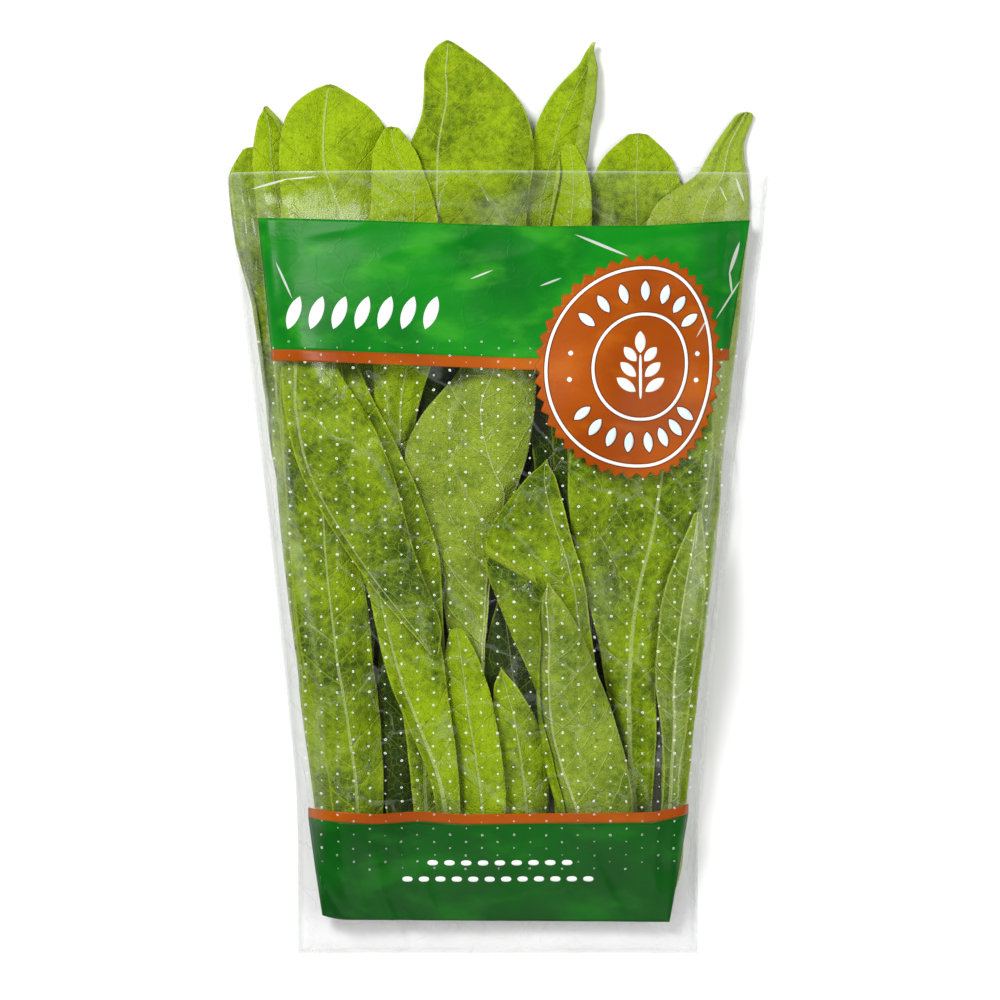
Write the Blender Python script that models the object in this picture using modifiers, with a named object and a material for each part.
"""Loose leaf chicory in a tapered film bag, lying on its back film.

Metres. +Z runs from the back film to the front film, +Y from the sealed base to the leaf tips.
The origin is under the middle of the whole outline, on the surface that the bag lies on.
"""

from dataclasses import dataclass

import bmesh
import bpy
import numpy as np

# Bag
BAG_HEIGHT = 0.339  # sealed base to the front film's mouth edge
MOUTH_WIDTH = 0.237
BASE_WIDTH = 0.174
STRAIGHT_SHARE = 0.18  # of the height, above the base, before the sides begin to flare
FLARE_POWER = 1.15
BACK_LIP = 0.003  # the back film stands this far above the front film's mouth edge
FILM = 0.0003
WELD = 0.0015  # width of the heat-sealed strip at the sides and base
SIDE_ROOM = 0.0042  # between a leaf and the bag's outline
CLEARANCE = 0.0003

# Leaves
LEAF_OVERHANG = 0.0572  # tallest leaf tip above the front film's mouth edge
BLADE = 0.0006
RIB = 0.0032  # at the foot of the midrib
RIB_LENGTH = 0.77  # of the leaf, over which the midrib thins out
RIB_WIDTH = 0.71  # of the half blade, over which the midrib thins out
LEAF_GAP = 0.0012
FULLNESS = 2.4  # scales each leaf's own arch, tilt and wave
BASE_Y = -(BAG_HEIGHT + LEAF_OVERHANG) / 2

# How finely the sheets are divided, and how they are laid
ROW_PITCH = 0.021
COLUMN_PITCH = 0.010
FILM_ROWS = 22
FILM_COLUMNS = 18
CELL = 0.001  # of the height map that the sheets are laid on
MAP_MARGIN = 0.03  # of the height map around the bag
STEEPEST = 3.0  # how many times its thickness a steep sheet may take up in height
QUAD_POINTS = 7  # places along a quad's side where it is held clear of the pile
LEAF_STEPS = 60
LEAF_DROP = 0.0008  # a step
FILM_STEPS = 400
FILM_DROP = 0.0001  # a step


@dataclass(frozen=True)
class Leaf:
    """One leaf. Its outline is read from the foot to the tip in bag units.

    Each station is (up, left, right): up is 0 at the base and 1 at the mouth, and left and
    right are -1 and 1 at the side seams. Heights are in millimetres. A leaf that was put in
    with its tip down has its stations in falling order.
    """

    name: str
    color: tuple
    stations: tuple
    arch: float = 3.0  # the middle stands above the margins
    tilt: float = 0.0  # the right margin stands above the left one
    wave: float = 1.0  # ruffle along the margins
    waves: float = 2.5
    lift: float = 0.0  # the tip stands above the foot


UPPER = (0.20, 0.42, 0.02)
UNDER = (0.38, 0.55, 0.16)
SHADE = (0.10, 0.25, 0.02)

# From the lowest in the pile to the highest.
LEAVES = (
    Leaf("back_left_leaf", SHADE, (
        (0.110, -0.62, -0.50), (0.300, -0.78, -0.40), (0.550, -0.86, -0.30), (0.780, -0.84, -0.30),
        (0.900, -0.74, -0.38), (0.960, -0.60, -0.52)), arch=4, wave=1.5),
    Leaf("back_centre_leaf", SHADE, (
        (0.100, -0.06, 0.06), (0.300, -0.26, 0.22), (0.550, -0.34, 0.28), (0.760, -0.26, 0.24),
        (0.860, -0.14, 0.12), (0.900, -0.04, 0.02)), arch=4, wave=1.5),
    Leaf("back_right_leaf", SHADE, (
        (0.110, 0.46, 0.58), (0.300, 0.30, 0.76), (0.550, 0.24, 0.82), (0.780, 0.26, 0.80),
        (0.900, 0.34, 0.66), (0.950, 0.46, 0.54)), arch=4, wave=1.5),
    Leaf("round_right_leaf", UPPER, (
        (0.145, 0.66, 0.76), (0.453, 0.54, 0.78), (0.646, 0.38, 0.81), (0.800, 0.28, 0.82),
        (0.932, 0.29, 0.76), (0.983, 0.34, 0.68), (1.021, 0.38, 0.63), (1.041, 0.43, 0.59),
        (1.050, 0.48, 0.53)), arch=7, wave=1.5, lift=6),
    Leaf("folded_tip_leaf", UPPER, (
        (0.139, 0.32, 0.42), (0.453, 0.23, 0.43), (0.800, 0.08, 0.42), (0.942, 0.07, 0.41),
        (1.012, 0.11, 0.40), (1.050, 0.12, 0.37), (1.087, 0.16, 0.34), (1.121, 0.21, 0.34),
        (1.142, 0.27, 0.34), (1.167, 0.32, 0.335)), arch=-6, tilt=3, lift=8),
    Leaf("inner_curl_leaf", UPPER, (
        (0.453, 0.28, 0.36), (0.684, 0.22, 0.36), (0.838, 0.19, 0.35), (0.986, 0.22, 0.34),
        (1.021, 0.23, 0.31), (1.036, 0.24, 0.27)), arch=4, tilt=-2, lift=3),
    Leaf("tall_leaf", UPPER, (
        (0.145, -0.14, -0.03), (0.453, -0.21, 0.00), (0.646, -0.29, 0.04), (0.800, -0.36, 0.09),
        (0.942, -0.37, 0.10), (1.031, -0.34, 0.14), (1.072, -0.27, 0.11), (1.108, -0.26, 0.05),
        (1.141, -0.26, -0.05), (1.159, -0.24, -0.12), (1.169, -0.20, -0.17)),
        arch=6, tilt=-3, wave=2, lift=10),
    Leaf("right_wing_leaf", UNDER, (
        (0.171, 0.82, 0.91), (0.453, 0.76, 0.93), (0.620, 0.70, 0.94), (0.858, 0.57, 0.94),
        (0.928, 0.57, 0.94), (0.961, 0.61, 0.93), (0.990, 0.73, 0.92), (1.015, 0.74, 0.91),
        (1.044, 0.79, 0.90), (1.067, 0.83, 0.91), (1.078, 0.86, 0.91)),
        arch=3, tilt=-4, lift=8),
    Leaf("left_edge_leaf", SHADE, (
        (0.158, -0.90, -0.80), (0.299, -0.93, -0.80), (0.548, -0.94, -0.80), (0.679, -0.94, -0.79),
        (0.810, -0.94, -0.77), (0.941, -0.95, -0.78), (0.999, -0.95, -0.80), (1.018, -0.93, -0.83),
        (1.033, -0.89, -0.86)), arch=1.5, tilt=1, lift=5),
    Leaf("left_narrow_leaf", UPPER, (
        (0.132, -0.82, -0.72), (0.325, -0.87, -0.71), (0.479, -0.89, -0.65), (0.646, -0.90, -0.63),
        (0.800, -0.90, -0.66), (0.942, -0.90, -0.72), (0.999, -0.90, -0.75), (1.044, -0.88, -0.76),
        (1.068, -0.86, -0.77), (1.085, -0.84, -0.82)), arch=-3, tilt=3, lift=8),
    Leaf("round_left_leaf", UPPER, (
        (0.145, -0.76, -0.66), (0.453, -0.78, -0.56), (0.646, -0.78, -0.44), (0.800, -0.80, -0.36),
        (0.942, -0.81, -0.36), (1.005, -0.80, -0.38), (1.046, -0.78, -0.39), (1.080, -0.74, -0.44),
        (1.101, -0.69, -0.52), (1.112, -0.63, -0.58)), arch=7, wave=2, lift=10),
    Leaf("front_left_top_leaf", UPPER, (
        (0.158, -0.45, -0.36), (0.620, -0.47, -0.36), (0.698, -0.50, -0.34), (0.745, -0.50, -0.27),
        (0.838, -0.51, -0.22), (0.935, -0.48, -0.22), (0.968, -0.46, -0.24), (1.012, -0.46, -0.28),
        (1.044, -0.44, -0.32), (1.058, -0.40, -0.36)), arch=4, tilt=3, lift=5),
    Leaf("dim_centre_leaf", SHADE, (
        (0.081, -0.48, -0.37), (0.185, -0.56, -0.27), (0.325, -0.57, -0.27), (0.427, -0.53, -0.34),
        (0.504, -0.47, -0.42)), arch=3),
    Leaf("low_left_leaf", UPPER, (
        (0.081, -0.84, -0.72), (0.190, -0.90, -0.71), (0.249, -0.91, -0.72), (0.338, -0.91, -0.79),
        (0.427, -0.92, -0.83), (0.504, -0.90, -0.86)), arch=1.5, tilt=2),
    Leaf("low_right_leaf", UPPER, (
        (0.087, 0.82, 0.92), (0.196, 0.81, 0.93), (0.312, 0.79, 0.93), (0.376, 0.80, 0.92),
        (0.436, 0.81, 0.90), (0.466, 0.81, 0.84)), arch=2, tilt=-2),
    Leaf("centre_dark_leaf", SHADE, (
        (0.094, 0.05, 0.16), (0.222, 0.00, 0.24), (0.318, -0.05, 0.23), (0.383, -0.06, 0.17),
        (0.421, -0.03, 0.10), (0.453, 0.00, 0.03)), arch=3),
    Leaf("right_rim_leaf", UPPER, (
        (0.132, 0.84, 0.92), (0.325, 0.86, 0.94), (0.492, 0.85, 0.95), (0.567, 0.86, 0.95),
        (0.614, 0.88, 0.94), (0.639, 0.90, 0.92)), arch=2, tilt=-2),
    Leaf("broad_pale_leaf", UNDER, (
        (0.119, -0.16, -0.05), (0.325, -0.18, -0.07), (0.430, -0.23, -0.06), (0.504, -0.28, -0.02),
        (0.556, -0.33, 0.03), (0.607, -0.39, 0.09), (0.646, -0.39, 0.12), (0.698, -0.29, 0.15),
        (0.745, -0.15, 0.16), (0.780, -0.09, 0.12), (0.806, -0.04, 0.04)), arch=6, wave=1.5),
    Leaf("left_broad_leaf", UPPER, (
        (0.087, -0.75, -0.65), (0.196, -0.81, -0.57), (0.273, -0.84, -0.57), (0.345, -0.89, -0.58),
        (0.448, -0.91, -0.60), (0.646, -0.89, -0.60), (0.723, -0.88, -0.63), (0.768, -0.86, -0.71),
        (0.793, -0.83, -0.77)), arch=6, wave=1.5),
    Leaf("slim_behind_leaf", UPPER, (
        (0.119, -0.40, -0.31), (0.299, -0.44, -0.27), (0.402, -0.51, -0.24), (0.483, -0.60, -0.25),
        (0.556, -0.64, -0.30), (0.639, -0.69, -0.40), (0.712, -0.71, -0.52), (0.774, -0.67, -0.61)),
        arch=2, tilt=2),
    Leaf("small_point_leaf", UPPER, (
        (0.094, 0.08, 0.18), (0.185, 0.04, 0.26), (0.261, -0.01, 0.23), (0.318, -0.02, 0.16),
        (0.350, -0.01, 0.07), (0.367, 0.00, 0.02)), arch=3),
    Leaf("centre_bright_leaf", UPPER, (
        (0.087, -0.13, -0.01), (0.190, -0.19, 0.05), (0.248, -0.23, 0.03), (0.308, -0.26, -0.02),
        (0.363, -0.26, -0.07), (0.395, -0.24, -0.11), (0.417, -0.21, -0.17)), arch=4),
    Leaf("right_broad_leaf", UPPER, (
        (0.119, 0.65, 0.75), (0.268, 0.58, 0.76), (0.350, 0.51, 0.74), (0.427, 0.45, 0.73),
        (0.485, 0.36, 0.78), (0.542, 0.32, 0.87), (0.607, 0.29, 0.89), (0.671, 0.31, 0.89),
        (0.729, 0.37, 0.87), (0.780, 0.47, 0.78), (0.806, 0.56, 0.64)), arch=6, wave=1.5),
    Leaf("right_grey_leaf", UNDER, (
        (0.132, 0.80, 0.89), (0.248, 0.82, 0.89), (0.344, 0.74, 0.90), (0.395, 0.73, 0.92),
        (0.453, 0.74, 0.93), (0.504, 0.78, 0.92), (0.543, 0.83, 0.89), (0.565, 0.85, 0.87)),
        arch=3, tilt=-2),
    Leaf("kite_leaf", UPPER, (
        (0.100, 0.32, 0.43), (0.196, 0.29, 0.49), (0.299, 0.23, 0.51), (0.357, 0.16, 0.46),
        (0.421, 0.05, 0.41), (0.480, -0.04, 0.38), (0.526, -0.07, 0.33), (0.569, 0.01, 0.29),
        (0.599, 0.09, 0.25), (0.617, 0.15, 0.23), (0.632, 0.20, 0.22)), arch=5),
    Leaf("ribbed_leaf", UPPER, (
        (0.094, -0.29, -0.18), (0.196, -0.30, -0.19), (0.267, -0.38, -0.21), (0.325, -0.48, -0.24),
        (0.389, -0.53, -0.26), (0.434, -0.56, -0.30), (0.479, -0.58, -0.42), (0.511, -0.59, -0.54)),
        arch=4, tilt=2),
    Leaf("front_long_leaf", UNDER, (
        (0.087, 0.46, 0.59), (0.158, 0.35, 0.68), (0.209, 0.27, 0.67), (0.273, 0.22, 0.59),
        (0.336, 0.19, 0.49), (0.402, 0.20, 0.40), (0.453, 0.20, 0.29), (0.476, 0.21, 0.23)),
        arch=5, tilt=-2),
    Leaf("upturned_leaf", UNDER, (
        (0.838, -0.83, -0.71), (0.759, -0.87, -0.67), (0.705, -0.87, -0.58), (0.650, -0.86, -0.46),
        (0.594, -0.80, -0.42), (0.530, -0.69, -0.38), (0.470, -0.56, -0.32), (0.421, -0.41, -0.26),
        (0.395, -0.33, -0.25), (0.385, -0.30, -0.28)), arch=4, tilt=3),
)


HIGHEST = max(station[0] for leaf in LEAVES for station in leaf.stations)


def half_width(y):
    """Half the bag's width at a height. Above the mouth the sides run on."""
    flare = (y - BASE_Y) / BAG_HEIGHT - STRAIGHT_SHARE
    flare = np.maximum(flare, 0) / (1 - STRAIGHT_SHARE)
    return (BASE_WIDTH + (MOUTH_WIDTH - BASE_WIDTH) * flare**FLARE_POWER) / 2


def smooth_steps(at, known, values):
    """A cubic curve through the known values that never swings past one of them."""
    step = np.diff(known)
    rise = np.diff(values) / step
    slopes = np.zeros_like(values)
    same_way = rise[1:] * rise[:-1] > 0
    both = np.where(same_way, rise[1:] + rise[:-1], 1)
    slopes[1:-1] = np.where(same_way, 2 * rise[1:] * rise[:-1] / both, 0)
    slopes[0], slopes[-1] = rise[0], rise[-1]
    i = np.clip(np.searchsorted(known, at) - 1, 0, len(step) - 1)
    t = (at - known[i]) / step[i]
    return (
        (1 + 2 * t) * (1 - t) ** 2 * values[i]
        + t * (1 - t) ** 2 * step[i] * slopes[i]
        + t**2 * (3 - 2 * t) * values[i + 1]
        + t**2 * (t - 1) * step[i] * slopes[i + 1]
    )


def widest(grid):
    """The height map with each cell raised to the highest of its neighbours."""
    padded = np.pad(grid, 1, mode="edge")
    rows, columns = grid.shape
    views = [padded[i:i + rows, j:j + columns] for i in range(3) for j in range(3)]
    return np.max(views, axis=0)


def neighbour_mean(grid):
    padded = np.pad(grid, 1, mode="edge")
    return (padded[2:, 1:-1] + padded[:-2, 1:-1] + padded[1:-1, 2:] + padded[1:-1, :-2]) / 4


def quad_points(grid, count):
    """Values at count by count points of each quad, for both ways of splitting it in two."""
    a, b, c, d = grid[:-1, :-1], grid[:-1, 1:], grid[1:, :-1], grid[1:, 1:]
    found = []
    for s in np.linspace(0, 1, count):
        for t in np.linspace(0, 1, count):
            if s + t <= 1:
                rising = a + s * (b - a) + t * (c - a)
            else:
                rising = d + (1 - s) * (c - d) + (1 - t) * (b - d)
            if s >= t:
                falling = b + t * (d - b) + (1 - s) * (a - b)
            else:
                falling = c + s * (d - c) + (1 - t) * (a - c)
            found.append((rising, falling))
    return np.array(found)


class Pile:
    """Height map of everything laid so far, from the surface up."""

    def __init__(self):
        self.low = np.array([-MOUTH_WIDTH / 2, BASE_Y]) - MAP_MARGIN
        high = np.array([MOUTH_WIDTH / 2, BASE_Y + BAG_HEIGHT + LEAF_OVERHANG]) + MAP_MARGIN
        columns, rows = np.ceil((high - self.low) / CELL).astype(int)
        self.height = np.full((rows, columns), FILM)

    def cells(self, x, y):
        """Where points are on the map."""
        rows = np.round((y - self.low[1]) / CELL).astype(int)
        columns = np.round((x - self.low[0]) / CELL).astype(int)
        last_row, last_column = np.array(self.height.shape) - 1
        return np.clip(rows, 0, last_row), np.clip(columns, 0, last_column)

    def raise_clear(self, x, y, z, gap):
        """Lifts a sheet's corners until no point of it is closer than the gap to the pile."""
        places = [quad_points(part, QUAD_POINTS) for part in (x, y)]
        need = widest(self.height)[self.cells(*places)] + gap
        rows, columns = z.shape
        for _ in range(40):
            short = (need - quad_points(z, QUAD_POINTS)).max(axis=(0, 1))
            if short.max() <= 0:
                break
            short = np.maximum(short, 0) * 1.02
            for i in (0, 1):
                for j in (0, 1):
                    z[i:rows - 1 + i, j:columns - 1 + j] += short
        return z

    def lay(self, x, y, z):
        """Adds a sheet's upper side to the pile."""
        longest = np.hypot(np.diff(x, axis=0), np.diff(y, axis=0)).max()
        longest = max(longest, np.abs(np.diff(x, axis=1)).max())
        count = int(1.3 * longest / CELL) + 2
        places = [quad_points(part, count) for part in (x, y)]
        np.maximum.at(self.height, self.cells(*places), quad_points(z, count))


def height_of(up):
    """The height of a level in bag units. Above the mouth it is a share of the overhang."""
    inside = np.minimum(up, 1) * BAG_HEIGHT
    return BASE_Y + inside + np.maximum(up - 1, 0) / (HIGHEST - 1) * LEAF_OVERHANG


def leaf_grid(leaf):
    """The leaf's points in rows from foot to tip, each row level across the bag."""
    up, left, right = np.array(leaf.stations).T
    reach = up[-1] - up[0]
    rows = max(7, round(abs(reach) * BAG_HEIGHT / ROW_PITCH) + 3)
    along = np.linspace(0, 1, rows)
    eased = 0.5 * along + 0.5 * np.sin(along * np.pi / 2) ** 1.4
    level = up[0] + reach * eased
    y = height_of(level)
    # Measured by the root of the distance from the tip, a round tip has straight sides.
    known = 1 - np.sqrt(1 - (up - up[0]) / reach)
    at = 1 - np.sqrt(1 - eased)
    room = half_width(y) - SIDE_ROOM
    left = np.maximum(smooth_steps(at, known, left) * half_width(y), -room)
    right = np.minimum(smooth_steps(at, known, right) * half_width(y), room)
    if reach < 0:
        left, right = right, left
    columns = max(4, 2 * round(np.abs(right - left).max() / COLUMN_PITCH / 2))
    across = np.linspace(0, 1, columns + 1)
    x = left[:, None] + (right - left)[:, None] * across
    y = np.repeat(y[:, None], columns + 1, axis=1)
    return x, y, along, 2 * across - 1


def leaf_shape(leaf, along, across):
    """The leaf's own heights, before it bends to what it lies on."""
    v = across[None, :]
    s = along[:, None]
    middle = np.sin(np.pi * np.clip(s, 0.02, 0.98)) ** 0.6
    shape = leaf.arch * (1 - v**2) * middle + leaf.tilt * v * middle + leaf.lift * s**3
    ruffle = leaf.wave * np.sin(2 * np.pi * leaf.waves * s + np.sign(v)) * np.abs(v) ** 1.5
    return (shape + ruffle) * FULLNESS * 0.001


def settle(pile, x, y, own):
    """Lets a leaf of the given shape sink onto the pile and bend to it."""
    rest = np.full_like(own, pile.height.max() + LEAF_GAP)
    for _ in range(LEAF_STEPS):
        rest = (rest + neighbour_mean(rest)) / 2 - LEAF_DROP
        rest = pile.raise_clear(x, y, rest + own, LEAF_GAP) - own
    return rest + own


def material(name, color, roughness, alpha=1.0):
    made = bpy.data.materials.new(name)
    made.use_nodes = True
    shader = made.node_tree.nodes["Principled BSDF"]
    shader.inputs["Base Color"].default_value = (*color, 1)
    shader.inputs["Roughness"].default_value = roughness
    shader.inputs["Metallic"].default_value = 0
    shader.inputs["Alpha"].default_value = alpha
    return made


def shell(name, parts, points, finish, thickness):
    """An object made of a grid that is moved to the points and thickened upwards."""
    x, y, z = points
    rows, columns = x.shape
    build = bmesh.new()
    bmesh.ops.create_grid(build, x_segments=columns - 1, y_segments=rows - 1, size=1)
    order = sorted(build.verts, key=lambda vert: (round(vert.co.y, 5), vert.co.x))
    for index, (vert, place) in enumerate(zip(order, np.stack([x, y, z], axis=-1).reshape(-1, 3))):
        vert.co = place
        vert.index = index
    build.verts.sort()
    mesh = bpy.data.meshes.new(name)
    build.to_mesh(mesh)
    build.free()
    mesh.shade_smooth()
    mesh.materials.append(finish)
    made = bpy.data.objects.new(name, mesh)
    parts.objects.link(made)
    solid = made.modifiers.new("Thickness", "SOLIDIFY")
    solid.thickness = thickness
    solid.offset = 1
    return made


def thicken_rib(leaf_object, share):
    """Makes the shell as thick as the rib where the share is 1, and as the blade where it is 0."""
    group = leaf_object.vertex_groups.new(name="rib")
    for index, weight in enumerate(share.reshape(-1)):
        group.add([index], float(weight), "REPLACE")
    solid = leaf_object.modifiers["Thickness"]
    solid.vertex_group = group.name
    solid.thickness_vertex_group = BLADE / RIB


def room_taken(x, y, z, thickness):
    """How far a sheet reaches above its underside, which is more where it is steep."""
    slope_x = np.gradient(z, axis=1) / np.maximum(np.abs(np.gradient(x, axis=1)), 1e-4)
    slope_y = np.gradient(z, axis=0) / np.maximum(np.abs(np.gradient(y, axis=0)), 1e-4)
    return thickness * np.minimum(np.sqrt(1 + slope_x**2 + slope_y**2), STEEPEST)


def add_leaves(parts, pile):
    for leaf in LEAVES:
        x, y, along, across = leaf_grid(leaf)
        z = settle(pile, x, y, leaf_shape(leaf, along, across))
        share = np.clip(1 - along / RIB_LENGTH, 0, 1)[:, None]
        share = share * np.clip(1 - np.abs(across) / RIB_WIDTH, 0, 1)
        finish = material(leaf.name, leaf.color, 0.45)
        thicken_rib(shell(leaf.name, parts, (x, y, z), finish, RIB), share)
        pile.lay(x, y, z + room_taken(x, y, z, BLADE + (RIB - BLADE) * share))


def add_front_film(parts, pile, finish):
    """The front film hangs from the welds over everything in the pile."""
    rows = np.linspace(0, BAG_HEIGHT, FILM_ROWS + 1)
    rows = BASE_Y + np.insert(rows, 1, WELD)
    edge = half_width(rows)[:, None]
    inner = np.sin(np.linspace(-1, 1, FILM_COLUMNS + 1) * np.pi / 2)
    x = np.hstack([-edge, inner * (edge - WELD), edge])
    y = np.repeat(rows[:, None], x.shape[1], axis=1)
    z = np.full_like(x, pile.height.max() + CLEARANCE)
    welded = np.zeros_like(x, bool)
    welded[:2] = welded[:, :2] = welded[:, -2:] = True
    for _ in range(FILM_STEPS):
        z = 0.3 * z + 0.7 * neighbour_mean(z) - FILM_DROP
        z[welded] = FILM + CLEARANCE
        z = pile.raise_clear(x, y, z, CLEARANCE)
    shell("bag_front_film", parts, (x, y, z), finish, FILM)


def add_back_film(parts, finish):
    """The back film lies flat on the surface."""
    rows = BASE_Y + np.linspace(0, BAG_HEIGHT + BACK_LIP, 15)
    edge = half_width(rows)[:, None]
    x = np.hstack([-edge, edge])
    y = np.repeat(rows[:, None], 2, axis=1)
    shell("bag_back_film", parts, (x, y, np.zeros_like(x)), finish, FILM)


def main():
    for thing in list(bpy.data.objects):
        bpy.data.objects.remove(thing, do_unlink=True)
    parts = bpy.data.collections.new("bagged_leaf_chicory")
    bpy.context.scene.collection.children.link(parts)
    pile = Pile()
    add_leaves(parts, pile)
    clear = material("clear_film", (0.9, 0.92, 0.92), 0.15, 0.3)
    add_front_film(parts, pile, clear)
    add_back_film(parts, clear)


main()
